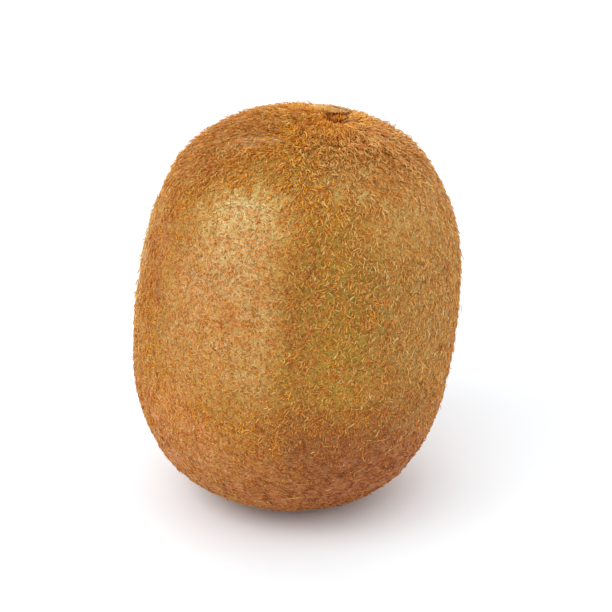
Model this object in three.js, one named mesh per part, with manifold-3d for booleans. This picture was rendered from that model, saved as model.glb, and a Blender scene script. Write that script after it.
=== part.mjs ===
// A whole brown kiwi fruit, standing on its blossom end and leaning a little to +X.
// Millimetres, +Z up. The origin is under the middle of the fruit, at the height of the
// small flat spot that it rests on.
import * as THREE from 'three';
import { mergeVertices } from 'three/addons/utils/BufferGeometryUtils.js';
import Module from 'manifold-3d';

const wasm = await Module();
wasm.setup();

// The fruit's long section: two curves that meet at the widest ring.
const fruitLength = 62.9;
const fruitRadius = 25.35;
const widestHeight = 30.2;
const blossomEndWidth = 20.5;   // how far the lower end stays flat before it turns up
const stemEndWidth = 20.0;      // the same for the upper end
const lowerStraightness = 19.9; // how far the side stays upright below the widest ring
const upperStraightness = 22.1; // the same above it

// The fruit's cross-section is nearly round. Each entry pulls the side in and out by its
// depth, that many times around.
const sectionWaves = [
  { count: 2, depth: 0.3, turn: 8 },
  { count: 3, depth: 0.12, turn: 40 },
  { count: 4, depth: -0.22, turn: 0 },
];

// The fruit grew a little crooked: it bulges to +X around this height.
const bow = { depth: 0.57, height: 46, reach: 15 };

const lean = THREE.MathUtils.degToRad(4.53);
const restSpotSink = 0.45;      // the fruit settles this much, which leaves the flat spot

// The stem end has a shallow pit where the stalk broke off. The blossom end has a dimple.
const stemPit = { x: 3.8, y: 4.3, radius: 4.0, depth: 1.7, rimHeight: 0.3 };
const blossomDimple = { x: -0.8, y: 0, radius: 3.4, depth: 1.8, rimHeight: 0 };

// Dried remains of the flower. They lie this far off the skin.
const skinGap = 0.35;
const sepals = [
  { name: 'sepal_back', turn: 98, start: 3.2, length: 3.7, width: 8.2, thickness: 0.5, lift: 0.4 },
  { name: 'sepal_left', turn: 198, start: 2.9, length: 4.4, width: 4.0, thickness: 0.6, lift: 0.5 },
  { name: 'sepal_right', turn: 15, start: 1.7, length: 2.0, width: 2.8, thickness: 0.5, lift: 0.1 },
];
const remnant = { radius: 1.5, height: 0.9, lobes: 7, lobeDepth: 0.3 };

const fruitSegments = 60;
const fruitRows = 22;           // rows of faces in each half of the long section

const skinColour = 0x96703a;
const sepalColour = 0x8a5f35;
const remnantColour = 0x3d2a1c;

// Points from the blossom pole to the stem pole, closer together near the poles.
function longSection() {
  const lower = new THREE.CubicBezierCurve(
    new THREE.Vector2(0, 0),
    new THREE.Vector2(blossomEndWidth, 0),
    new THREE.Vector2(fruitRadius, widestHeight - lowerStraightness),
    new THREE.Vector2(fruitRadius, widestHeight),
  );
  const upper = new THREE.CubicBezierCurve(
    new THREE.Vector2(0, fruitLength),
    new THREE.Vector2(stemEndWidth, fruitLength),
    new THREE.Vector2(fruitRadius, widestHeight + upperStraightness),
    new THREE.Vector2(fruitRadius, widestHeight),
  );
  const poleCrowding = 1.35;
  const points = [];
  for (let row = 0; row <= fruitRows; row += 1) {
    points.push(lower.getPoint((row / fruitRows) ** poleCrowding));
  }
  for (let row = fruitRows - 1; row >= 0; row -= 1) {
    points.push(upper.getPoint((row / fruitRows) ** poleCrowding));
  }
  points.at(0).x = 0;
  points.at(-1).x = 0;
  return points;
}

// Depth below the undented surface at a distance from the dent's middle: a round bowl
// with a slightly raised rim.
function dentDepth(dent, x, y) {
  const reach = Math.hypot(x - dent.x, y - dent.y) / dent.radius;
  const bowl = reach < 1 ? dent.depth * (1 - reach ** 2) ** 2 : 0;
  const rim = dent.rimHeight * Math.exp(-(((reach - 1.15) / 0.35) ** 2));
  return bowl - rim;
}

// How far out of round the side is at an angle, as a factor on the radius.
function sectionFactor(angle) {
  let change = 0;
  for (const wave of sectionWaves) {
    change += wave.depth * Math.cos(wave.count * (angle - THREE.MathUtils.degToRad(wave.turn)));
  }
  return 1 + change / fruitRadius;
}

// The fruit before it settles: a turned body, made a little uneven and given its dents.
function grownBody() {
  const geometry = new THREE.LatheGeometry(longSection(), fruitSegments);
  geometry.rotateX(Math.PI / 2);
  const position = geometry.attributes.position;
  const point = new THREE.Vector3();
  for (let i = 0; i < position.count; i += 1) {
    point.fromBufferAttribute(position, i);
    const factor = sectionFactor(Math.atan2(point.y, point.x));
    point.x *= factor;
    point.y *= factor;
    point.x += bow.depth * Math.exp(-(((point.z - bow.height) / bow.reach) ** 2));
    if (point.z > fruitLength / 2) {
      point.z -= dentDepth(stemPit, point.x, point.y);
    } else {
      point.z += dentDepth(blossomDimple, point.x, point.y);
    }
    position.setXYZ(i, point.x, point.y, point.z);
  }
  return geometry;
}

// A closed mesh as a solid that can be joined and cut.
function toSolid(geometry) {
  const bare = geometry.clone();
  bare.deleteAttribute('normal');
  bare.deleteAttribute('uv');
  const merged = mergeVertices(bare, 1e-4);
  const corners = merged.index.array;
  const faces = [];
  for (let i = 0; i < corners.length; i += 3) {
    const [a, b, c] = corners.slice(i, i + 3);
    if (a !== b && b !== c && c !== a) {
      faces.push(a, b, c);
    }
  }
  return new wasm.Manifold(new wasm.Mesh({
    numProp: 3,
    vertProperties: new Float32Array(merged.attributes.position.array),
    triVerts: new Uint32Array(faces),
  }));
}

function toGeometry(solid) {
  const mesh = solid.getMesh();
  const geometry = new THREE.BufferGeometry();
  geometry.setAttribute('position', new THREE.BufferAttribute(mesh.vertProperties, 3));
  geometry.setIndex(new THREE.BufferAttribute(mesh.triVerts, 1));
  geometry.computeVertexNormals();
  return geometry;
}

function makeMesh(name, geometry, color) {
  const material = new THREE.MeshStandardMaterial({ color, roughness: 0.8, metalness: 0 });
  const mesh = new THREE.Mesh(geometry, material);
  mesh.name = name;
  return mesh;
}

// The body leans, sinks by the depth of the flat spot, and is cut level there.
const settle = new THREE.Matrix4().makeRotationY(lean);
const leaning = grownBody().applyMatrix4(settle);
leaning.computeBoundingBox();
settle.premultiply(
  new THREE.Matrix4().makeTranslation(0, 0, -leaning.boundingBox.min.z - restSpotSink),
);

function makeFruit() {
  const ground = new THREE.BoxGeometry(4 * fruitRadius, 4 * fruitRadius, fruitLength);
  ground.translate(0, 0, -fruitLength / 2);
  const settled = toSolid(grownBody().applyMatrix4(settle)).subtract(toSolid(ground));
  return makeMesh('fruit', toGeometry(settled), skinColour);
}

// A dried sepal: a thin leaf wrapped part of the way round the stem pit. It follows the
// skin outwards, a gap off it, and its tip lifts.
function makeSepal(sepal, fruit) {
  const ray = new THREE.Raycaster();
  const down = new THREE.Vector3(0, 0, -1);
  const pitMiddle = new THREE.Vector3(stemPit.x, stemPit.y, fruitLength).applyMatrix4(settle);
  const turn = THREE.MathUtils.degToRad(sepal.turn);
  const tipNarrowing = 0.4;
  const geometry = new THREE.SphereGeometry(1, 14, 10);
  geometry.rotateZ(Math.PI / 2);
  const position = geometry.attributes.position;
  for (let i = 0; i < position.count; i += 1) {
    const along = (position.getX(i) + 1) / 2;
    const out = sepal.start + along * sepal.length;
    const across = position.getY(i) * (1 - tipNarrowing * along) * sepal.width / 2;
    const angle = turn + across / (sepal.start + sepal.length / 2);
    const x = pitMiddle.x + out * Math.cos(angle);
    const y = pitMiddle.y + out * Math.sin(angle);
    ray.set(new THREE.Vector3(x, y, 2 * fruitLength), down);
    const skinHeight = ray.intersectObject(fruit)[0].point.z;
    const layer = (position.getZ(i) + 1) * sepal.thickness / 2;
    position.setXYZ(i, x, y, skinHeight + skinGap + layer + sepal.lift * along ** 2);
  }
  return makeMesh(sepal.name, geometry, sepalColour);
}

// What is left of the flower's styles: a low, dark, lobed button in the blossom dimple.
function makeFlowerRemnant() {
  const { radius, height } = remnant;
  const profile = new THREE.SplineCurve([
    new THREE.Vector2(0, 0),
    new THREE.Vector2(0.7 * radius, 0.05 * height),
    new THREE.Vector2(radius, 0.5 * height),
    new THREE.Vector2(0.6 * radius, 0.95 * height),
    new THREE.Vector2(0, height),
  ]).getPoints(8);
  profile.at(0).x = 0;
  profile.at(-1).x = 0;
  const geometry = new THREE.LatheGeometry(profile, 4 * remnant.lobes);
  geometry.rotateX(Math.PI / 2);
  const position = geometry.attributes.position;
  for (let i = 0; i < position.count; i += 1) {
    const x = position.getX(i);
    const y = position.getY(i);
    const wave = Math.cos(remnant.lobes * Math.atan2(y, x));
    const lobes = 1 - remnant.lobeDepth * (0.5 + 0.5 * wave);
    position.setXY(i, x * lobes, y * lobes);
  }
  const dimple = new THREE.Vector3(blossomDimple.x, blossomDimple.y, blossomDimple.depth);
  dimple.applyMatrix4(settle);
  geometry.translate(dimple.x, dimple.y, dimple.z - skinGap - height);
  return makeMesh('flower_remnant', geometry, remnantColour);
}

const kiwi = new THREE.Group();
const fruit = makeFruit();
fruit.updateMatrixWorld();
kiwi.add(fruit);
for (const sepal of sepals) {
  kiwi.add(makeSepal(sepal, fruit));
}
kiwi.add(makeFlowerRemnant());

// The origin goes under the middle of the fruit.
const middle = new THREE.Box3().setFromObject(kiwi, true).getCenter(new THREE.Vector3());
kiwi.position.set(-middle.x, -middle.y, 0);

export default kiwi;
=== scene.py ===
import math

import bmesh
import bpy
import numpy as np
from mathutils import Matrix, Vector, noise
from mathutils.bvhtree import BVHTree


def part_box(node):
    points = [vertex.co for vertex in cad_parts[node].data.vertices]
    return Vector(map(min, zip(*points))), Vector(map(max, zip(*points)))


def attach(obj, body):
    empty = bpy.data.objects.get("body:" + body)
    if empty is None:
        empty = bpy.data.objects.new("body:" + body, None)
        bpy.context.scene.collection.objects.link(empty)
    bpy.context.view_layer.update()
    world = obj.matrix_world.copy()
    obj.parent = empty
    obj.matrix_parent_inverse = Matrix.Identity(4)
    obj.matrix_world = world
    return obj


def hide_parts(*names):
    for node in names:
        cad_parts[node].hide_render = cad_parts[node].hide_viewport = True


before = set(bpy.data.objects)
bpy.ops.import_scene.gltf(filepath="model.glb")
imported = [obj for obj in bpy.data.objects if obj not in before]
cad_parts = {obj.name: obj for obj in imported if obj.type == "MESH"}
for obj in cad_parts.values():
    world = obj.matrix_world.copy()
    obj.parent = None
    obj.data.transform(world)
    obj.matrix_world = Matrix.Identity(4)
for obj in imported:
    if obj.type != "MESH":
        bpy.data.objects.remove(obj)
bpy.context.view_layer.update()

# everything is in metres; the camera looks along +Y, a little down
mm = 0.001
bumpDepth = 0.08 * mm
mergeDistance = 0.002 * mm
dice = np.random.default_rng(41)


class Wire:
    # one output socket; + - * add Math nodes behind it
    def __init__(self, paint, socket):
        self.paint = paint
        self.socket = socket

    def maths(self, operation, first, second):
        return self.paint.add("ShaderNodeMath", {"operation": operation}, {0: first, 1: second})

    def __add__(self, other):
        return self.maths("ADD", self, other)

    def __radd__(self, other):
        return self.maths("ADD", other, self)

    def __sub__(self, other):
        return self.maths("SUBTRACT", self, other)

    def __rsub__(self, other):
        return self.maths("SUBTRACT", other, self)

    def __mul__(self, other):
        return self.maths("MULTIPLY", self, other)

    def __rmul__(self, other):
        return self.maths("MULTIPLY", other, self)


class Paint:
    # one node material; add() makes a node, sets it up and links or fills its sockets
    def __init__(self, name):
        self.material = bpy.data.materials.new(name)
        self.material.use_nodes = True
        self.tree = self.material.node_tree
        self.tree.nodes.clear()

    def add(self, kind, settings=None, inputs=None, output=0):
        node = self.tree.nodes.new(kind)
        for name, value in (settings or {}).items():
            if name == "stops":
                self.setStops(node.color_ramp, value)
            else:
                setattr(node, name, value)
        for name, value in (inputs or {}).items():
            if isinstance(value, Wire):
                self.tree.links.new(value.socket, node.inputs[name])
            else:
                node.inputs[name].default_value = value
        return Wire(self, node.outputs[output]) if len(node.outputs) else None

    def setStops(self, ramp, stops):
        while len(ramp.elements) < len(stops):
            ramp.elements.new(0.5)
        for element, (place, colour) in zip(ramp.elements, stops):
            element.position = place
            element.color = (*colour, 1.0)

    def ramp(self, value, stops):
        return self.add("ShaderNodeValToRGB", {"stops": stops}, {"Fac": value})

    def band(self, value, low, high):
        # 0 below low, 1 above high, smooth between
        return self.add("ShaderNodeMapRange", {"interpolation_type": "SMOOTHSTEP"},
                        {"Value": value, "From Min": low, "From Max": high})

    def mix(self, share, first, second, blend="MIX"):
        # a Mix node takes its colours at sockets 6 and 7, and gives its colour at socket 2
        first, second = (c if isinstance(c, Wire) else (*c, 1.0) for c in (first, second))
        return self.add("ShaderNodeMix", {"data_type": "RGBA", "blend_type": blend},
                        {0: share, 6: first, 7: second}, 2)

    def tint(self, share, first, second):
        return self.mix(share, first, second, "MULTIPLY")

    def vectors(self, operation, first, second=(0, 0, 0), output="Vector"):
        return self.add("ShaderNodeVectorMath", {"operation": operation},
                        {0: first, 1: second}, output)

    def axis(self, vector, name):
        return self.add("ShaderNodeSeparateXYZ", None, {"Vector": vector}, name)

    def noise(self, place, scale, detail=3.0, roughness=0.55):
        return self.add("ShaderNodeTexNoise", None,
                        {"Vector": place, "Scale": scale, "Detail": detail, "Roughness": roughness})

    def spots(self, place, scale):
        return self.add("ShaderNodeTexVoronoi", None, {"Vector": place, "Scale": scale})

    def threads(self, field, level, width):
        # thin winding lines, where a noise passes a level
        away = self.add("ShaderNodeMath", {"operation": "ABSOLUTE"}, {0: field - level})
        return 1 - self.band(away, 0.35 * width, width)

    def patch(self, place, ragged, middle, reach):
        # 1 in the middle of a soft ellipsoid given in millimetres, 0 outside it
        offset = self.vectors("SUBTRACT", place, [value * mm for value in middle])
        scaled = self.vectors("DIVIDE", offset, [value * mm for value in reach])
        away = self.vectors("LENGTH", scaled, output="Value")
        return 1 - self.band(away + 0.8 * ragged, 0.85, 1.65)

    def nearLine(self, place, start, end, reach):
        # 1 on the line between two points given in millimetres, 0 further off than its reach
        start, end = (Vector(point) * mm for point in (start, end))
        way = end - start
        offset = self.vectors("SUBTRACT", place, start)
        along = self.vectors("DOT_PRODUCT", offset, way / way.length_squared, "Value")
        along = self.add("ShaderNodeClamp", None, {"Value": along})
        nearest = self.add("ShaderNodeVectorMath", {"operation": "SCALE"}, {0: way, "Scale": along})
        away = self.vectors("DISTANCE", offset, nearest, "Value")
        return 1 - self.band(away, 0.3 * reach * mm, reach * mm)

    def bump(self, height, distance):
        return self.add("ShaderNodeBump", None, {"Distance": distance, "Height": height})

    def surface(self, **sockets):
        names = {"colour": "Base Color", "roughness": "Roughness", "normal": "Normal",
                 "specular": "Specular IOR Level", "coat": "Coat Weight",
                 "coatRoughness": "Coat Roughness"}
        shader = self.add("ShaderNodeBsdfPrincipled", None,
                          {names[key]: value for key, value in sockets.items()})
        self.add("ShaderNodeOutputMaterial", None, {"Surface": shader})
        return self.material


# these take lists of values, or of points with one row each
def smooth(value, low, high):
    share = np.clip((value - low) / (high - low), 0, 1)
    return share * share * (3 - 2 * share)


def unit(vectors):
    return vectors / np.maximum(np.linalg.norm(vectors, axis=-1, keepdims=True), 1e-12)


def wander(points, scale, shift, octaves=3):
    # smooth noise from -1 to 1 at each point, with features about 1 / scale across
    shift = Vector((shift, shift * 0.7, -shift))
    return np.array([noise.fractal(Vector(p) * scale + shift, 0.6, 2.0, octaves) for p in points])


def blob(points, spot):
    # 1 in the middle of a soft ellipsoid given in millimetres, 0 outside it
    away = (points / mm - np.array(spot["middle"])) / np.array(spot["reach"])
    return np.exp(-((away ** 2).sum(1)) ** 2)


def placePiece(name, mesh, material, isSmooth=True):
    mesh.materials.append(material)
    mesh.polygons.foreach_set("use_smooth", [isSmooth] * len(mesh.polygons))
    piece = bpy.data.objects.new(name, mesh)
    bpy.context.scene.collection.objects.link(piece)
    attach(piece, "root")
    print(name + ":", len(mesh.loops) - 2 * len(mesh.polygons), "triangles")
    return piece


def meshPiece(name, points, faces, material, isSmooth=True):
    mesh = bpy.data.meshes.new(name)
    mesh.from_pydata(points.tolist(), [], faces)
    return placePiece(name, mesh, material, isSmooth)


def bmeshLists(mesh):
    # the points, normals and faces of a bmesh, which is freed
    points = np.array([v.co[:] for v in mesh.verts])
    normals = np.array([v.normal[:] for v in mesh.verts])
    faces = [[v.index for v in f.verts] for f in mesh.faces]
    mesh.free()
    return points, normals, faces


# places taken from the frame
fruitLow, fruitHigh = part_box("fruit")
fruitHeight = fruitHigh.z - fruitLow.z
core = Vector((0.0, 0.0, fruitHeight / 2))
pitSearch = 3.2 * mm          # the pit is no further than this from the middle of the sepals
pitLift = 1 * mm              # the hairs part this far above the bottom of the stem pit
tipLift = 1.5 * mm            # and meet this far above the table


def findPit():
    # just above the lowest point of the fruit between the three sepals
    between = np.array(((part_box("sepal_left")[1].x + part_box("sepal_right")[0].x) / 2,
                        (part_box("sepal_left")[0].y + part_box("sepal_back")[0].y) / 2))
    points = np.array([v.co[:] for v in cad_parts["fruit"].data.vertices])
    near = np.hypot(*(points[:, :2] - between).T) < pitSearch
    near &= points[:, 2] > 0.8 * fruitHeight
    return points[near][np.argmin(points[near, 2])] + np.array((0, 0, pitLift))


def findTip():
    low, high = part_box("flower_remnant")
    middle = (low + high) / 2
    return np.array((middle.x, middle.y, tipLift))


pitMiddle = findPit()
tipMiddle = findTip()


studio = {
    "cameraHeight": 27.0,     # degrees above the table
    "cameraDistance": 0.5,
    "lens": 185.4,
    "aim": (1.6 * mm, 0.0, 31.55 * mm),
    "floorColour": (0.87, 0.912, 0.945),
    "floorSize": 6.0,
    "sky": 0.68,
    "panelDistance": 0.75,
    # soft panels around the fruit: turn from the camera's side (right is +), height, width and
    # tallness in degrees, and brightness, where 1 makes white paper white
    "panels": [
        (-150, 16, 44, 26, 2.9),
        (-100, 16, 44, 26, 0.2),
        (-55, 16, 44, 26, 0.95),
        (80, 16, 44, 26, 1.05),
        (125, 16, 44, 26, 1.2),
        (170, 16, 44, 26, 2.7),
        (-155, 46, 44, 32, 0.4),
        (-65, 46, 44, 32, 3.32),
        (-20, 46, 44, 32, 1.8),
        (25, 46, 44, 32, 0.15),
        (70, 46, 44, 32, 0.25),
        (115, 46, 44, 32, 0.15),
        (160, 46, 44, 32, 0.2),
        (45, 76, 54, 26, 0.85),
    ],
}


def makeFloor():
    paint = Paint("studio_floor")
    material = paint.surface(colour=(*studio["floorColour"], 1.0), roughness=0.9, specular=0.1)
    half = studio["floorSize"] / 2
    corners = [(-half, -half, 0), (half, -half, 0), (half, half, 0), (-half, half, 0)]
    mesh = bpy.data.meshes.new("floor")
    mesh.from_pydata(corners, [], [(0, 1, 2, 3)])
    mesh.materials.append(material)
    floor = bpy.data.objects.new("floor", mesh)
    bpy.context.scene.collection.objects.link(floor)


def outFrom(turn, height):
    # the way out from the fruit, given by degrees round from the camera's side and up
    turn, height = math.radians(turn), math.radians(height)
    level = math.cos(height)
    return Vector((math.sin(turn) * level, -math.cos(turn) * level, math.sin(height)))


def softPanel(name, turn, height, wide, tall, brightness):
    # an evenly lit rectangle that faces the fruit
    distance = studio["panelDistance"]
    narrowing = max(math.cos(math.radians(height)), 0.6)     # higher panels are narrower
    light = bpy.data.lights.new(name, "AREA")
    light.shape = "RECTANGLE"
    light.size = 2 * distance * math.tan(math.radians(wide / 2)) * narrowing
    light.size_y = 2 * distance * math.tan(math.radians(tall / 2))
    light.energy = brightness * math.pi * light.size * light.size_y
    out = outFrom(turn, height)
    lamp = bpy.data.objects.new(name, light)
    lamp.location = core + out * distance
    lamp.rotation_euler = out.to_track_quat("Z", "Y").to_euler()
    bpy.context.scene.collection.objects.link(lamp)


def makeLights():
    scene = bpy.context.scene
    scene.view_settings.view_transform = "Standard"
    scene.world = bpy.data.worlds.new("studio")
    scene.world.use_nodes = True
    sky = scene.world.node_tree.nodes["Background"].inputs
    sky["Color"].default_value = (1, 1, 1, 1)
    sky["Strength"].default_value = studio["sky"]
    for number, panel in enumerate(studio["panels"]):
        softPanel("panel%d" % number, *panel)


def makeCamera():
    camera = bpy.data.cameras.new("camera")
    camera.lens = studio["lens"]
    camera.clip_start = 0.01
    out = outFrom(0, studio["cameraHeight"])
    eye = bpy.data.objects.new("camera", camera)
    eye.location = Vector(studio["aim"]) + out * studio["cameraDistance"]
    eye.rotation_euler = out.to_track_quat("Z", "Y").to_euler()
    bpy.context.scene.collection.objects.link(eye)
    bpy.context.scene.camera = eye


skin = {
    "cells": 84,              # rows of faces along each side of the cube it starts as
    "smoothing": 14,          # rounds that even out the facets
    "lumpHeight": 0.16 * mm,
    "lumpSize": 7 * mm,
    "poreHeight": 0.035 * mm,
    "poreSize": 0.9 * mm,
    "tableGap": 0.02 * mm,    # the least it keeps off the table
    "specular": 0.25,
    "roughness": 0.58,
    "glossy": ((-9, -17, 49), (10, 10, 13)),     # where the fur is worn off: middle and reach
    "glossyDrop": 0.18,                          # how much smoother it is there
    "coat": 0.45,
    "coatRoughness": 0.26,
    # how many features of each pattern fit in a metre
    "scales": {"broad": 90.0, "mottle": 620.0, "fine": 2300.0, "jitter": 1500.0,
               "blotches": 1050.0, "winding": 1600.0, "level": 1500.0, "dots": 560.0,
               "dotGroups": 400.0},
    "flatten": (0.45, 0.45, 1.6),                # makes threads lie level near the flower end
    "threadLevel": 0.5,
    "threadShadeLevel": 0.565,
    "threadWidth": 0.055,
    "base": [(0.3, (0.35, 0.160, 0.014)), (0.5, (0.39, 0.190, 0.022)),
             (0.72, (0.44, 0.225, 0.034))],
    "lower": (0.46, 0.160, 0.054),               # redder towards the flower end
    "lowerFrom": 34 * mm,                        # from this height
    "lowerTo": 10 * mm,                          # down to this one
    "crown": (0.42, 0.125, 0.003),               # orange round the stem pit
    "crownReach": (8, 8, 4),
    "dots": (0.55, 0.155, 0.018),
    "scratched": (0.22, 0.060, 0.009),
    "darkSpot": (0.12, 0.030, 0.007),
    # these four multiply the colour under them
    "blotched": (1.09, 0.78, 0.58),
    "gaps": (0.60, 0.58, 0.28),
    # the painted shadow beside each pale thread
    "threadShade": (0.66, 0.50, 0.24),
    "thread": (1.35, 1.45, 2.1),
    # patches of other colour: middle and reach in mm, how strong, colour
    "patches": [
        # the next two are paler partly as a painted highlight on the worn front
        ((-7, -16, 55), (8.5, 9, 9.5), 0.8, (0.55, 0.385, 0.105)),       # pale green, high in front
        ((-8.5, -21, 40), (9, 9, 16), 0.8, (0.51, 0.295, 0.087)),        # worn patch below it
        ((-11, -21.6, 41), (3.5, 4, 4), 0.5, (0.48, 0.195, 0.032)),      # reddish mark on that
        # darker partly as painted shade between the lit sides; the olive is its own
        ((7, -22, 46), (9, 10, 15), 0.7, (0.285, 0.174, 0.019)),         # olive band
        ((5, -24, 33), (8, 10, 9), 0.7, (0.375, 0.235, 0.024)),          # greener patch
        ((19, -15, 40), (9, 12, 18), 0.7, (0.40, 0.235, 0.055)),         # tan on the right
        # the next two are paler as a painted highlight high on the right
        ((17, -14, 53), (9, 9, 6), 0.7, (0.51, 0.320, 0.080)),           # paler high on the right
        ((9, -11.5, 59), (10, 6, 5), 0.8, (0.52, 0.350, 0.100)),         # and above that
        ((16, -17, 22), (8, 8, 7), 0.75, (0.32, 0.165, 0.034)),          # browner lower right
        # darkened partly as painted shade between the lit front and the lit left rim
        ((-21.5, -8.5, 45), (3.6, 5, 13), 0.6, (0.44, 0.170, 0.028)),    # redder strip on the left
        # painted shade along the right edge of the highlight
        ((0.5, -25, 36), (3.5, 6, 22), 0.5, (0.32, 0.165, 0.018)),       # dark edge of the band
        # paler partly as painted light low on the left
        ((-18, -16, 17), (12, 10, 12), 0.75, (0.60, 0.262, 0.085)),      # orange low on the left
        ((10, -20, 12), (11, 12, 9), 0.9, (0.25, 0.090, 0.016)),         # dark low on the right
        ((3, -24, 19), (9, 9, 7.5), 0.8, (0.25, 0.093, 0.019)),          # and its upper end
        ((-1, -11, 61), (9, 4.5, 4), 0.8, (0.35, 0.205, 0.028)),         # olive before the crown
        ((-6.3, -3.4, 62), (5, 3.6, 3), 0.8, (0.42, 0.195, 0.050)),      # rubbed patch on the crown
        # paler partly as a painted highlight
        ((-16, -18, 37), (6, 8, 14), 0.5, (0.52, 0.280, 0.090)),         # left of the worn patch
        # painted rim light on the high right edge
        ((20, -8, 54), (6, 8, 7), 0.6, (0.54, 0.340, 0.110)),            # pale, high right edge
        ((17.5, -14, 12), (6, 8, 6), 0.6, (0.44, 0.172, 0.036)),         # redder, low right edge
        # painted rim light on the left edge
        ((-25, 3, 43), (5, 8, 15), 0.7, (0.60, 0.370, 0.170)),           # pale at the left edge
        ((15, 17, 42), (14, 12, 18), 0.85, (0.44, 0.265, 0.065)),        # the back: tan,
        ((-10, 21, 38), (12, 10, 16), 0.85, (0.40, 0.240, 0.042)),       # greener,
        ((-22, 8, 46), (7, 12, 18), 0.8, (0.45, 0.250, 0.065)),          # tan again
        ((0, 22, 13), (18, 12, 9), 0.8, (0.36, 0.145, 0.045)),           # and browner below
    ],
    # a brown streak down the left side and an old scratch low on the right: start, end, reach
    "scratches": [
        ((-17.5, -6, 54), (-21.2, -12.5, 38), 1.8),
        ((7.2, -21.4, 13.0), (12.2, -20.3, 16.4), 0.8),
        ((12.2, -20.3, 16.4), (17.7, -16.3, 18.1), 0.8),
    ],
    "darkSpots": [
        ((7.0, -21.2, 13.1), (0.7, 1.5, 1.1)),
        ((4.6, -21.6, 12.4), (0.9, 1.5, 0.5)),
    ],
}


def roundedFruit():
    # the CAD fruit with its facets rounded off, as a tree that rays can be cast at
    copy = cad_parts["fruit"].copy()
    copy.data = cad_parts["fruit"].data.copy()
    bpy.context.scene.collection.objects.link(copy)
    mesh = bmesh.new()
    mesh.from_mesh(copy.data)
    bmesh.ops.remove_doubles(mesh, verts=mesh.verts, dist=mergeDistance)
    bmesh.ops.join_triangles(mesh, faces=mesh.faces, angle_face_threshold=0.5,
                             angle_shape_threshold=0.8)
    mesh.to_mesh(copy.data)
    mesh.free()
    rounding = copy.modifiers.new("rounding", "SUBSURF")
    rounding.levels = 2
    rounded = copy.evaluated_get(bpy.context.evaluated_depsgraph_get()).to_mesh()
    tree = BVHTree.FromPolygons([v.co.copy() for v in rounded.vertices],
                                [tuple(p.vertices) for p in rounded.polygons])
    bpy.data.objects.remove(copy)
    return tree


def ballGrid(cells):
    # an even grid of faces over a ball: a cut-up cube pushed out
    grid = bmesh.new()
    bmesh.ops.create_cube(grid, size=2.0)
    bmesh.ops.subdivide_edges(grid, edges=grid.edges[:], cuts=cells - 1, use_grid_fill=True)
    points, _, faces = bmeshLists(grid)
    return unit(np.tan(points * math.pi / 4)), np.array(faces)


def smoothOver(values, faces, rounds):
    # averages each value with its neighbours' along the edges of the faces
    ends = np.concatenate([faces, np.roll(faces, 1, axis=1)]).ravel()
    starts = np.concatenate([np.roll(faces, 1, axis=1), faces]).ravel()
    count = np.bincount(ends, minlength=len(values))
    for _ in range(rounds):
        around = np.bincount(ends, weights=values[starts], minlength=len(values)) / count
        values = 0.5 * values + 0.5 * around
    return values


def faceNormals(points, faces):
    # of four-cornered faces, as long as each face's area
    a, b, c, d = (points[faces[:, i]] for i in range(4))
    return np.cross(c - a, d - b) / 2


def pointNormals(points, faces):
    whole = np.zeros_like(points)
    for i in range(4):
        np.add.at(whole, faces[:, i], faceNormals(points, faces))
    return unit(whole)


def makeSkin(material):
    tree = roundedFruit()
    directions, faces = ballGrid(skin["cells"])
    reach = np.array([tree.ray_cast(core, Vector(d))[3] for d in directions])
    reach = smoothOver(reach, faces, skin["smoothing"])
    points = np.array(core) + directions * reach[:, None]
    normals = pointNormals(points, faces)
    lumps = wander(points, 1 / skin["lumpSize"], 3.0, 2) * skin["lumpHeight"]
    pores = wander(points, 1 / skin["poreSize"], 9.0, 2) * skin["poreHeight"]
    points += normals * (lumps + pores)[:, None]
    points[:, 2] = np.maximum(points[:, 2], skin["tableGap"])
    piece = meshPiece("kiwi_skin", points, faces.tolist(), material)
    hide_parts("fruit")
    return points, faces


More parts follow.
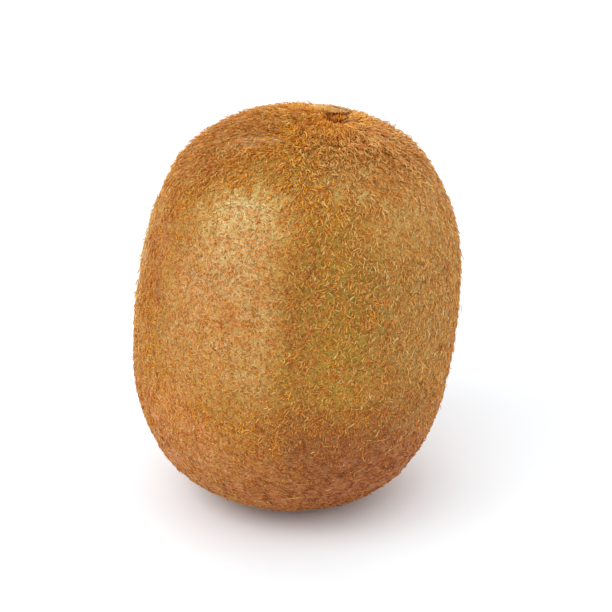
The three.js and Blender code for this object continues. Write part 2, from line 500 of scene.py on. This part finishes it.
def skinPaint():
    paint = Paint("kiwi_skin")
    place = paint.add("ShaderNodeTexCoord", output="Object")
    scales = skin["scales"]
    broad = paint.noise(place, scales["broad"])
    mottle = paint.noise(place, scales["mottle"])
    fine = paint.noise(place, scales["fine"], roughness=0.7)
    jitter = paint.noise(place, scales["jitter"], 2.0)
    height = paint.axis(place, "Z") + 12 * mm * broad
    lower = 1 - paint.band(height, skin["lowerTo"], skin["lowerFrom"])

    # broad colours first
    base = paint.ramp(broad, skin["base"])
    for middle, reach, strength, colour in skin["patches"]:
        base = paint.mix(strength * paint.patch(place, broad, middle, reach), base, colour)
    base = paint.mix(0.75 * lower, base, skin["lower"])
    crown = paint.patch(place, broad, [value / mm for value in pitMiddle], skin["crownReach"])
    base = paint.mix(0.8 * crown, base, skin["crown"])

    # reddish blotches, then winding down: pale threads, each with a painted shadow beside it
    blotches = paint.band(paint.noise(place, scales["blotches"], 2.0, 0.6), 0.51, 0.60)
    base = paint.tint(0.8 * blotches, base, skin["blotched"])
    winding = paint.noise(place, scales["winding"], 2.0, 0.5)
    level = paint.noise(paint.vectors("MULTIPLY", place, skin["flatten"]), scales["level"], 2.0, 0.5)
    winding = winding + (level - winding) * (0.3 + 0.6 * lower)
    down = paint.threads(winding, skin["threadLevel"], skin["threadWidth"])
    down = down * paint.band(mottle, 0.34, 0.48)
    shade = paint.threads(winding, skin["threadShadeLevel"], skin["threadWidth"])
    gaps = paint.band(fine, 0.53, 0.36)
    base = paint.tint(0.7 * gaps, base, skin["gaps"])
    base = paint.tint(0.9 * shade, base, skin["threadShade"])
    base = paint.tint(0.9 * down, base, skin["thread"])

    # reddish dots where hairs broke off, scratches and dark spots
    dots = 1 - paint.band(paint.spots(place, scales["dots"]) + 0.9 * (jitter - 0.5), 0.15, 0.28)
    dots = dots * paint.band(paint.noise(place, scales["dotGroups"], 2.0), 0.38, 0.48)
    base = paint.mix(0.5 * dots, base, skin["dots"])
    for start, end, reach in skin["scratches"]:
        line = paint.nearLine(place, start, end, reach) * paint.band(jitter, 0.35, 0.6)
        base = paint.mix(0.7 * line, base, skin["scratched"])
    for middle, reach in skin["darkSpots"]:
        base = paint.mix(0.85 * paint.patch(place, jitter, middle, reach), base, skin["darkSpot"])

    glossy = paint.patch(place, broad, *skin["glossy"])
    normal = paint.bump(fine + 0.9 * down + 0.8 * dots, bumpDepth)
    return paint.surface(colour=base, roughness=skin["roughness"] - skin["glossyDrop"] * glossy,
                         specular=skin["specular"], coat=skin["coat"] * glossy * (1 - 0.8 * gaps),
                         coatRoughness=skin["coatRoughness"], normal=normal)


# denser and longer say what each zone adds to a kind's density and to its length, as shares
fur = {
    # the crown's long curls, long curly hairs, short fine ones and reddish stubs
    "kinds": {
        "crown": {"count": 10500, "bends": 2, "width": 0.13 * mm, "length": 1.5 * mm,
                  "curl": 1.2, "lift": 0.9, "droop": 1.5, "disorder": 0.3, "shade": 0.56,
                  "darkRoot": 0.35,
                  "denser": {"crown": 7.0, "upper": 0.8, "base": -1.0, "worn": -4.0},
                  "longer": {"crown": 0.2}},
        "long": {"count": 17000, "bends": 2, "width": 0.16 * mm, "length": 1.2 * mm,
                 "curl": 1.1, "lift": 0.22, "droop": 0.0, "disorder": 0.55, "shade": 0.55,
                 "darkRoot": 1.0,
                 "denser": {"crown": 0.1, "upper": 0.55, "base": -0.95, "worn": -1.4,
                            "sides": -0.25, "olive": -0.15},
                 "longer": {"upper": 0.15, "base": -0.2, "worn": -0.4}},
        "short": {"count": 56000, "bends": 1, "width": 0.16 * mm, "length": 0.8 * mm,
                  "curl": 0.8, "lift": 0.24, "droop": 0.0, "disorder": 0.9, "shade": 0.51,
                  "darkRoot": 0.9,
                  "denser": {"upper": -0.35, "base": 0.3, "worn": -0.4, "olive": -0.25},
                  "longer": {"crown": 0.2, "upper": 0.2, "base": 0.1, "worn": -0.25}},
        "stub": {"count": 12000, "bends": 1, "width": 0.28 * mm, "length": 0.6 * mm,
                 "curl": 0.5, "lift": 0.2, "droop": 0.0, "disorder": 1.3, "shade": 0.29,
                 "darkRoot": 0.6,
                 "denser": {"crown": -0.7, "upper": -0.4, "base": 0.2, "worn": 2.2},
                 "longer": {"crown": 0.3, "upper": 0.2}},
    },
    # hairs on other pieces: how many, on what share of the piece, and how much paler
    "down": {
        "sepal_left": {"kind": "crown", "count": 420, "covered": 1.0, "paler": 0.0},
        "sepal_back": {"kind": "short", "count": 60, "covered": 0.05, "paler": 0.35},
    },
    "thicketSize": 1.8 * mm,      # how far apart dense spots are,
    "swirlSize": 4 * mm,          # swirls,
    "tuftSize": 1.3 * mm,         # tufts that lean one way
    "clumpSize": 0.9 * mm,        # and clumps of one shade
    "lengthSpread": 0.25,         # how much hairs of one kind differ
    "liftSpread": 0.16,
    "droopSpread": 0.35,
    "widthSpread": 0.25,
    "taper": 0.45,
    "rootDepth": 0.06 * mm,
    "tableGap": 0.03 * mm,        # hairs are cut short this far above the table
    # a hair's shade picks its colour from one of two ramps, golden or faded
    "shadeSpread": 0.17,          # from hair to hair,
    "baseSpread": 0.07,           # more near the flower end,
    "clumpSpread": 0.22,          # and from clump to clump
    "fadedShare": 0.35,
    # what each zone adds to the shade and to the share of faded hairs; lower shades in the pit,
    # shadedEdge, strip and rightRim are painted shade, and higher ones in leftRim and lowLeft
    # are painted light
    "shadeIn": {"upper": -0.04, "crown": 0.02, "worn": -0.02, "base": -0.26, "dull": -0.24,
                "olive": -0.01, "strip": -0.16, "pale": -0.07, "lowLeft": 0.12, "shadedEdge": -0.11,
                "pit": -0.3, "leftRim": 0.24, "rightRim": -0.12},
    "fadedIn": {"upper": 0.1, "crown": -1.0, "base": 0.8, "dull": 0.2, "sides": 0.6,
                "pale": 0.8, "shadedEdge": 0.4, "olive": 0.25, "lowLeft": 0.5, "leftRim": 0.4},
    "golden": [(0.0, (0.42, 0.100, 0.012)), (0.25, (0.71, 0.220, 0.020)),
               (0.5, (0.86, 0.380, 0.036)), (0.75, (0.92, 0.530, 0.100)),
               (1.0, (0.95, 0.680, 0.260))],
    "faded": [(0.0, (0.34, 0.100, 0.030)), (0.25, (0.66, 0.220, 0.050)),
              (0.5, (0.77, 0.360, 0.075)), (0.75, (0.84, 0.520, 0.165)),
              (1.0, (0.90, 0.690, 0.350))],
    # painted shade towards each hair's root: its colour and strength; darkRoot in each kind scales
    # it
    "rootShade": (0.60, 0.42, 0.10),
    "rootShadeStrength": 0.75,
    "flowerEnd": 0.2,             # shares of the height where the fur is split into pieces
    "stemEnd": 0.84,
    "downScatter": 0.06 * mm,     # how far down strays from the piece it grows on
    # zones round the stem pit: how far they reach from its middle
    "crownSize": 9 * mm,
    "pitSize": 2.8 * mm,
    "bareSize": (1.3 * mm, 2.1 * mm),
    "raggedSize": 7 * mm,         # of the bays in the zones' borders
    # borders of the other zones, as shares of the height, or as degrees round the fruit, where
    # -90 faces the camera
    "borders": {"upper": (0.83, 0.98), "base": (0.12, 0.41), "wornRight": (-98, -90),
                "wornLow": (0.32, 0.56), "wornHigh": (0.91, 0.99), "shadedEdgeLeft": (-96, -91),
                "shadedEdgeRight": (-85, -75), "shadedEdgeLow": (0.2, 0.35), "shadedEdgeHigh": (0.8, 0.9),
                "sidesRight": (-80, -55), "sidesLeft": (-165, -145)},
    # and zones that are soft spots, in mm
    "spots": {
        "rubbed": {"middle": (-6.3, -3.4, 62), "reach": (4.8, 3.2, 3)},     # thin, on the crown
        "bareRim": {"middle": (6.3, 3.0, 62), "reach": (1.9, 1.9, 3)},      # near side of the pit
        "bareFlap": {"middle": (5.2, 8.8, 61), "reach": (4.6, 4.7, 4)},     # round the back sepal
        "bareRight": {"middle": (8.5, 4.6, 61), "reach": (2.3, 2.1, 3)},    # round the right one
        # painted shade in front of the pit, darkening its hairs
        "pitFront": {"middle": (6.2, -0.5, 62), "reach": (5.0, 4.5, 4)},    # deeper orange
        "paleRight": {"middle": (15, -2, 59), "reach": (7, 11, 7)},         # beside the crown
        "paleLeft": {"middle": (-12, -1, 60), "reach": (5, 8, 6)},
        "dull": {"middle": (10, -20, 15), "reach": (13, 12, 12)},           # low on the right
        # paler hairs here as painted light
        "lowLeft": {"middle": (-15, -15, 11), "reach": (12, 10, 9)},        # paler, low down
        "olive": {"middle": (5, -23, 42), "reach": (8, 9, 19)},             # thinner there
        # darker hairs here partly as painted shade
        "strip": {"middle": (-21.8, -8, 45), "reach": (3.8, 4.5, 12)},      # redder, up the left
        # paler hairs here as painted rim light
        "leftRim": {"middle": (-25, 4, 43), "reach": (6, 9.5, 17)},         # paler beyond that
        # darker hairs here as painted shade on the right edge
        "rightRim": {"middle": (25, 3, 22), "reach": (7, 11, 14)},          # darker opposite
    },
}
# where a hair is on its map: golden hairs have their tips at one height, faded hairs have
# theirs one row above, and roots are lower
hairMap = {"width": 0.003, "tips": 0.3, "rootDrop": 0.25, "fadedRow": 0.5}


def turnAndShare(points):
    # degrees round the fruit, where -90 faces the camera, and share of its height
    return np.degrees(np.arctan2(points[:, 1], points[:, 0])), points[:, 2] / fruitHeight


def zones(points):
    # how much each point belongs to each zone of the fur, 0 to 1, with ragged borders
    borders = fur["borders"]
    turn, share = turnAndShare(points)
    ragged = wander(points, 1 / fur["raggedSize"], 20.0)
    fromPit = np.linalg.norm(points - pitMiddle, axis=1)
    zone = {name: blob(points, spot) for name, spot in fur["spots"].items()}
    zone["crown"] = np.exp(-(fromPit / fur["crownSize"]) ** 2)
    # hairs in and in front of the pit get painted shade
    zone["pit"] = np.maximum(np.exp(-(fromPit / fur["pitSize"]) ** 2), 0.3 * zone["pitFront"])
    zone["bare"] = np.maximum.reduce([1 - smooth(fromPit, *fur["bareSize"]), zone["bareRim"],
                                      zone["bareFlap"], zone["bareRight"], 0.8 * zone["rubbed"]])
    zone["pale"] = np.maximum(zone["paleRight"], zone["paleLeft"])
    zone["upper"] = smooth(share + 0.03 * ragged, *borders["upper"])
    zone["base"] = 1 - smooth(share + 0.04 * ragged, *borders["base"])
    # the worn area's left border leans, and turns back near the crown
    leftEdge = -141 - 12 * smooth(share, 0.4, 0.75) + 24 * smooth(share, 0.8, 0.96)
    zone["worn"] = smooth(turn - leftEdge + 6 * ragged, -8, 6)
    zone["worn"] *= 1 - smooth(turn + 4 * ragged, *borders["wornRight"])
    zone["worn"] *= (smooth(share + 0.06 * ragged, *borders["wornLow"])
                     * (1 - smooth(share + 0.05 * ragged, *borders["wornHigh"])))
    # a strip right of the worn area, along the highlight's edge, where hairs get painted shade
    zone["shadedEdge"] = (smooth(turn + 3 * ragged, *borders["shadedEdgeLeft"])
                     * (1 - smooth(turn, *borders["shadedEdgeRight"]))
                     * smooth(share, *borders["shadedEdgeLow"])
                     * (1 - smooth(share, *borders["shadedEdgeHigh"])))
    zone["sides"] = np.maximum(smooth(turn + 10 * ragged, *borders["sidesRight"]),
                               1 - smooth(turn + 10 * ragged, *borders["sidesLeft"]))
    return zone


def zoneChange(zone, table):
    return 1 + sum(table[name] * zone[name] for name in table)


def flowAlong(points, normals):
    # hairs lie away from the stem pit and towards the flower end
    away = points - pitMiddle
    towards = tipMiddle - points
    flow = away / (away ** 2).sum(1, keepdims=True) + towards / (towards ** 2).sum(1, keepdims=True)
    flow -= normals * (flow * normals).sum(1, keepdims=True)
    return unit(flow)


def plantRoots(kind, points, faces, faceZones):
    # random places on the skin, closer together where the fur is dense
    middles = points[faces].mean(1)
    areas = np.linalg.norm(faceNormals(points, faces), axis=1)
    look = fur["kinds"][kind]
    density = np.maximum(zoneChange(faceZones, look["denser"]), 0.05) * (1 - faceZones["bare"])
    thickets = wander(middles, 1 / fur["thicketSize"], 70.0, 2)
    density = density * np.clip(1 + 1.3 * thickets, 0.1, 2.2)
    if kind == "crown":
        density = density * (0.02 + faceZones["crown"] + 0.3 * faceZones["upper"])
    chance = areas * density * (middles[:, 2] > 0.25 * mm)
    picked = dice.choice(len(faces), look["count"], p=chance / chance.sum())
    u, v = dice.random((2, len(picked), 1))
    a, b, c, d = (points[faces[picked, i]] for i in range(4))
    roots = (a * (1 - u) + b * u) * (1 - v) + (d * (1 - u) + c * u) * v
    zone = {name: values[picked] for name, values in faceZones.items()}
    return roots, unit(faceNormals(points, faces)[picked]), zone


def ringAround(middle, across, over, thick):
    # three points round a hair
    turns = [corner * 2 * math.pi / 3 for corner in range(3)]
    return [middle + (across * math.cos(turn) + over * math.sin(turn)) * thick for turn in turns]


def growHairs(kind, roots, normals, zone):
    # each hair is a slim closed spindle: a root, a few three-point rings and a tip
    look = fur["kinds"][kind]
    count = len(roots)
    along = flowAlong(roots, normals)
    side = np.cross(normals, along)
    disorder = look["disorder"] * (1 - 0.35 * zone["crown"] - 0.3 * zone["base"])
    sway = 0.9 - 0.6 * zone["crown"]
    swirls = wander(roots, 1 / fur["swirlSize"], 50.0, 2)
    tufts = wander(roots, 1 / fur["tuftSize"], 130.0, 1)
    heading = sway * swirls + disorder * dice.normal(0, 1, count)
    heading += (0.8 - 0.4 * zone["crown"]) * tufts + 1.4 * zone["base"]
    curl = dice.normal(0, look["curl"], count)
    length = look["length"] * zoneChange(zone, look["longer"])
    length = length * dice.lognormal(0, fur["lengthSpread"], count)
    rise = look["lift"] * (1 + 0.4 * zone["upper"] - 0.5 * zone["base"])
    rise = np.clip(rise + dice.normal(0, fur["liftSpread"], count), 0.06, 1.2)
    droop = rise + look["droop"] + dice.uniform(0.0, fur["droopSpread"], count)
    thinner, thicker = 1 - fur["widthSpread"], 1 + fur["widthSpread"]
    width = look["width"] * dice.uniform(thinner, thicker, count) * (1 - 0.25 * zone["worn"])
    segments = look["bends"] + 1
    place = roots - normals * fur["rootDepth"]
    rows = [place]
    for step in range(segments):
        share = step / segments
        angle = (heading + curl * share)[:, None]
        tilt = (rise - droop * share)[:, None]
        level = along * np.cos(angle) + side * np.sin(angle)
        direction = level * np.cos(tilt) + normals * np.sin(tilt)
        place = place + direction * (length / segments)[:, None]
        if step < look["bends"]:
            across = unit(np.cross(direction, normals))
            over = np.cross(across, direction)
            thick = width / 2 * (1 - fur["taper"] * share)
            rows += ringAround(place, across, over, thick[:, None])
    rows.append(place)
    hairs = np.stack(rows, axis=1)
    hairs[:, :, 2] = np.maximum(hairs[:, :, 2], fur["tableGap"])
    spread = fur["shadeSpread"] + fur["baseSpread"] * zone["base"]
    shade = look["shade"] - 1 + zoneChange(zone, fur["shadeIn"])
    shade += spread * dice.normal(0, 1, count)
    shade += fur["clumpSpread"] * wander(roots, 1 / fur["clumpSize"], 160.0, 1)
    faded = dice.random(count) < fur["fadedShare"] - 1 + zoneChange(zone, fur["fadedIn"])
    return {"bends": look["bends"], "points": hairs, "shade": np.clip(shade, 0.02, 0.98),
            "roots": roots, "darkRoot": np.full(count, look["darkRoot"]), "faded": faded}


def spindle(bends):
    # the faces of one hair, and how far up it each of its points is
    rings = [[1 + 3 * row + corner for corner in range(3)] for row in range(bends)]
    tip = 1 + 3 * bends
    faces = []
    for i in range(3):
        j = (i + 1) % 3
        faces.append((0, rings[0][j], rings[0][i]))
        for lower, upper in zip(rings, rings[1:]):
            faces.append((lower[i], lower[j], upper[j]))
            faces.append((lower[i], upper[j], upper[i]))
        faces.append((rings[-1][i], rings[-1][j], tip))
    heights = [0] + [(row + 1) / (bends + 1) for row in range(bends) for _ in range(3)] + [1]
    return np.array(faces), np.array(heights)


def triangleMesh(name, points, faces, corners):
    # a mesh of many triangles, with the map that keeps each hair's colour in the export
    mesh = bpy.data.meshes.new(name)
    mesh.vertices.add(len(points))
    mesh.vertices.foreach_set("co", points.astype(np.float32).ravel())
    mesh.loops.add(len(faces) * 3)
    mesh.loops.foreach_set("vertex_index", faces.astype(np.int32).ravel())
    mesh.polygons.add(len(faces))
    mesh.polygons.foreach_set("loop_start", np.arange(len(faces), dtype=np.int32) * 3)
    mesh.update(calc_edges=True)
    mesh.uv_layers.new(name="OFBake").data.foreach_set("uv", corners.astype(np.float32).ravel())
    mesh.validate()
    return mesh


def furPiece(name, batches, material):
    # one mesh of many hairs; its map has a hair's shade across, and root to tip upwards
    slim = hairMap["width"] / 2
    points, faces, mapAcross, mapUp = [], [], [], []
    start = 0
    for batch in batches:
        count, size = batch["points"].shape[:2]
        hairFaces, heights = spindle(batch["bends"])
        offsets = start + np.arange(count)[:, None, None] * size
        faces.append((offsets + hairFaces[None]).reshape(-1, 3))
        points.append(batch["points"].reshape(-1, 3))
        sideways = np.array([0] + [-slim, 0, slim] * batch["bends"] + [0])
        mapAcross.append((batch["shade"][:, None] + sideways[None]).ravel())
        drop = hairMap["rootDrop"] * batch["darkRoot"][:, None] * (1 - heights)[None]
        row = hairMap["fadedRow"] * batch["faded"][:, None]
        mapUp.append((hairMap["tips"] - drop + row).ravel())
        start += count * size
    points, faces = np.concatenate(points), np.concatenate(faces)
    places = np.stack([np.concatenate(mapAcross), np.concatenate(mapUp)], axis=1)
    mesh = triangleMesh(name, points, faces, places[faces.ravel()])
    return placePiece(name, mesh, material)


def furRegions(roots):
    turn, share = turnAndShare(roots)
    bottom, top = share < fur["flowerEnd"], share >= fur["stemEnd"]
    middle = ~bottom & ~top
    behind = roots[:, 1] > pitMiddle[1]
    return {
        "fur_stem_front": top & ~behind,
        "fur_stem_back": top & behind,
        "fur_flower_end": bottom,
        "fur_front": middle & (turn >= -135) & (turn < -45),
        "fur_right": middle & (turn >= -45) & (turn < 45),
        "fur_back": middle & (turn >= 45) & (turn < 135),
        "fur_left": middle & ((turn >= 135) | (turn < -135)),
    }


def threadBatch(paths, widths, shades):
    # closed spindles along given lines of points, in the form that furPiece takes
    hairs = []
    for path, width in zip(paths, widths):
        rows = [path[0]]
        for before, place, after in zip(path, path[1:], path[2:]):
            direction = unit(after - before)
            across = unit(np.cross(direction, (0.31, 0.12, 0.94)))
            rows += ringAround(place, across, np.cross(across, direction), width / 2)
        hairs.append(rows + [path[-1]])
    return {"bends": len(paths[0]) - 2, "points": np.array(hairs), "shade": np.array(shades),
            "roots": np.array([path[0] for path in paths]), "darkRoot": np.zeros(len(paths)),
            "faded": np.ones(len(paths))}


# single pale hairs pressed on the skin; their lines are turn in degrees and share of the
# height, at both ends
strays = {
    "width": 0.13 * mm,
    "shade": 0.68,
    "bend": 1.6,              # degrees
    "lift": 0.07 * mm,
    "points": 6,              # along each line
    "lines": [(-67, 0.19, -62, 0.22), (-62, 0.23, -57, 0.235), (-53, 0.24, -48, 0.26),
              (-48, 0.265, -43, 0.29), (-80, 0.31, -77, 0.31), (-59, 0.30, -55, 0.29),
              (-76, 0.17, -77, 0.155), (-88, 0.14, -95, 0.13), (-109, 0.11, -102, 0.11),
              (-55, 0.40, -54, 0.425)],
}


def strayHairs(tree):
    paths = []
    for turn, share, endTurn, endShare in strays["lines"]:
        path = []
        for step in np.linspace(0, 1, strays["points"]):
            bend = strays["bend"] * math.sin(5 * step + turn)
            angle = math.radians(turn + (endTurn - turn) * step + bend)
            axis = Vector((0, 0, (share + (endShare - share) * step) * fruitHeight))
            outward = Vector((math.cos(angle), math.sin(angle), 0))
            path.append(tree.ray_cast(axis, outward)[0] + outward * strays["lift"])
        paths.append(np.array(path))
    count = len(paths)
    return threadBatch(paths, [strays["width"]] * count, [strays["shade"]] * count)


def downOn(piece, kind, count, covered, paler):
    # hairs that grow on the given share of another piece, from its near side back
    nearest = sorted(piece.data.vertices, key=lambda v: v.co.y)
    picked = dice.integers(int(covered * len(nearest)), size=count)
    roots = np.array([nearest[i].co[:] for i in picked])
    roots += dice.normal(0, fur["downScatter"], (count, 3))
    normals = np.array([nearest[i].normal[:] for i in picked])
    hairs = growHairs(kind, roots, normals, zones(roots))
    hairs["shade"] = np.clip(hairs["shade"] + paler, 0.02, 0.98)
    return hairs


def makeFur(points, faces, tree, sepals, material):
    faceZones = zones(points[faces].mean(1))
    batches = [growHairs(kind, *plantRoots(kind, points, faces, faceZones))
               for kind in fur["kinds"]]
    batches.append(strayHairs(tree))
    batches += [downOn(sepals[node], **down) for node, down in fur["down"].items()]
    regions = {}
    for batch in batches:
        for name, chosen in furRegions(batch["roots"]).items():
            part = {key: value[chosen] for key, value in batch.items() if key != "bends"}
            regions.setdefault(name, []).append({"bends": batch["bends"], **part})
    print("fur:", sum(len(batch["roots"]) for batch in batches), "hairs")
    for name, parts in regions.items():
        furPiece(name, parts, material)


def furPaint():
    paint = Paint("kiwi_fur")
    place = paint.add("ShaderNodeUVMap", {"uv_map": "OFBake"})
    shade = paint.axis(place, "X")
    along = paint.axis(place, "Y")
    isFaded = paint.band(along, 0.4, 0.5)     # between the two rows of the map
    colour = paint.mix(isFaded, paint.ramp(shade, fur["golden"]), paint.ramp(shade, fur["faded"]))
    tipward = paint.band(along - hairMap["fadedRow"] * isFaded, 0.05, 0.24)
    # painted shade darkens each hair towards its root
    rootward = fur["rootShadeStrength"] - fur["rootShadeStrength"] * tipward
    colour = paint.tint(rootward, colour, fur["rootShade"])
    return paint.surface(colour=colour, roughness=0.5, specular=0.12)


# the dried remains of the flower: each is its node's own shape, finer and wrinkled, and sunk a
# little onto the skin; patches are middle and reach in mm, and colour; under is painted shade
dried = {
    "sepal_back": {"piece": "dried_sepal_back", "slot": "dried_sepal",
                   "wrinkle": 0.12 * mm, "sink": 0.15 * mm,
                   "dark": (0.42, 0.19, 0.045), "light": (0.68, 0.38, 0.12),
                   "under": (0.24, 0.095, 0.024),
                   # a painted shadow line under the right end of the flap
                   "patches": [((7.0, 9.0, 62.2), (2.0, 0.5, 2), (0.06, 0.022, 0.008))]},
    "sepal_left": {"piece": "dried_sepal_left", "slot": "dried_sepal",
                   "wrinkle": 0.12 * mm, "sink": 0.0,
                   "dark": (0.44, 0.16, 0.014), "light": (0.66, 0.32, 0.060),
                   "under": (0.42, 0.140, 0.014), "patches": []},
    "sepal_right": {"piece": "dried_sepal_right", "slot": "dried_sepal",
                    "wrinkle": 0.1 * mm, "sink": 0.15 * mm,
                    "dark": (0.22, 0.080, 0.008), "light": (0.38, 0.150, 0.018),
                    "under": (0.16, 0.055, 0.006), "patches": []},
    "flower_remnant": {"piece": "flower_button", "slot": "dried_flower",
                       "wrinkle": 0.1 * mm, "sink": 0.0,
                       "dark": (0.02, 0.012, 0.008), "light": (0.12, 0.06, 0.03),
                       "under": (0.06, 0.03, 0.015), "patches": []},
}


def driedPaint(name, look):
    # streaky and dull, with painted shade where it faces down
    paint = Paint(name)
    place = paint.add("ShaderNodeTexCoord", output="Object")
    facing = paint.axis(paint.add("ShaderNodeTexCoord", output="Normal"), "Z")
    streaks = paint.noise(place, 1300.0, 4.0)
    colour = paint.ramp(streaks, [(0.32, look["dark"]), (0.66, look["light"])])
    for middle, reach, patchColour in look["patches"]:
        colour = paint.mix(0.9 * paint.patch(place, streaks, middle, reach), colour, patchColour)
    colour = paint.mix(1 - paint.band(facing, -0.35, 0.35), colour, look["under"])
    return paint.surface(colour=colour, roughness=0.7, specular=0.2,
                         normal=paint.bump(streaks, bumpDepth))


def makeDried(node, material):
    look = dried[node]
    mesh = bmesh.new()
    mesh.from_mesh(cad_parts[node].data)
    bmesh.ops.remove_doubles(mesh, verts=mesh.verts, dist=mergeDistance)
    bmesh.ops.subdivide_edges(mesh, edges=mesh.edges[:], cuts=2, use_grid_fill=True, smooth=0.6)
    points, normals, faces = bmeshLists(mesh)
    ragged = [wander(points, 1 / (1.1 * mm), shift, 2) for shift in (15.0, 25.0)]
    points += normals * (wander(points, 1 / (0.8 * mm), 5.0) * look["wrinkle"])[:, None]
    points[:, :2] += np.stack(ragged, axis=1) * 2.5 * look["wrinkle"]
    points[:, 2] -= look["sink"]
    piece = meshPiece(look["piece"], points, faces, material)
    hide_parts(node)
    return piece


crumbs = {
    "count": 34,
    "spread": 1.9 * mm,
    "narrower": 0.8,          # their spread from front to back, as a share of that
    "back": 0.9 * mm,         # how far behind the middle of the stem pit they lie
    "size": 0.3 * mm,
    "roughness": 0.09 * mm,
    "dark": (0.12, 0.032, 0.003),
    "light": (0.38, 0.130, 0.016),
    # painted shade where it faces down
    "under": (0.05, 0.015, 0.002),
    "patches": [((6.0, 6.6, 61.9), (0.7, 0.8, 0.8), (0.72, 0.36, 0.060))],
}


def makeCrumbs(tree, material):
    # crumbs of the broken stalk, lying in the stem pit
    heap = bmesh.new()
    for _ in range(crumbs["count"]):
        turn = dice.uniform(0, 2 * math.pi)
        far = crumbs["spread"] * math.sqrt(dice.uniform(0, 1))
        x = pitMiddle[0] + far * math.cos(turn)
        y = pitMiddle[1] + crumbs["back"] + crumbs["narrower"] * far * math.sin(turn)
        ground = tree.ray_cast(Vector((x, y, 2 * fruitHeight)), Vector((0, 0, -1)))[0]
        sizes = [crumbs["size"] * share for share in dice.uniform(0.5, 1.5, 3)]
        turned = Matrix.Translation(ground) @ Matrix.Rotation(turn, 4, "Z")
        bmesh.ops.create_icosphere(heap, subdivisions=2, radius=1,
                                   matrix=turned @ Matrix.Diagonal((*sizes, 1)))
    points, normals, faces = bmeshLists(heap)
    points += normals * (wander(points, 1 / (0.35 * mm), 8.0) * crumbs["roughness"])[:, None]
    meshPiece("stalk_crumbs", points, faces, material, isSmooth=False)


styles = {
    "count": 30,
    "points": 8,              # along each thread
    "start": 0.25 * mm,       # from the middle of the flower end
    "reach": 2.3 * mm,
    "width": 0.26 * mm,
    "curl": 0.5,
    "height": 1.15 * mm,      # above the table where they start,
    "sag": 0.75 * mm,         # how far they dip on the way out
    "tableGap": 0.35 * mm,    # and the least they keep off the table
}


def makeStyles(material):
    # the dried styles: stiff dark threads that spread from the middle of the flower end
    paths = []
    for _ in range(styles["count"]):
        turn, curl = dice.uniform(0, 2 * math.pi), dice.normal(0, styles["curl"])
        reach = styles["reach"] * dice.uniform(0.6, 1.0)
        path = []
        for step in np.linspace(0, 1, styles["points"]):
            angle = turn + curl * step
            out = styles["start"] + reach * step
            height = styles["height"] - styles["sag"] * math.sin(2.6 * step)
            path.append((tipMiddle[0] + out * math.cos(angle),
                         tipMiddle[1] + out * math.sin(angle), max(height, styles["tableGap"])))
        paths.append(np.array(path))
    widths = styles["width"] * dice.uniform(0.7, 1.2, len(paths))
    batch = threadBatch(paths, widths, dice.uniform(0.1, 0.9, len(paths)))
    furPiece("dried_styles", [batch], material)


makeFloor()
makeLights()
makeCamera()
print("studio:", len(studio["panels"]), "panels")

skinPoints, skinFaces = makeSkin(skinPaint())
skinTree = BVHTree.FromPolygons(skinPoints.tolist(), skinFaces.tolist())

sepals = {}
for node in ("sepal_back", "sepal_left", "sepal_right"):
    sepals[node] = makeDried(node, driedPaint(dried[node]["piece"], dried[node]))
makeCrumbs(skinTree, driedPaint("stalk_scar", crumbs))
makeFur(skinPoints, skinFaces, skinTree, sepals, furPaint())

flowerPaint = driedPaint("dried_flower", dried["flower_remnant"])
makeDried("flower_remnant", flowerPaint)
makeStyles(flowerPaint)
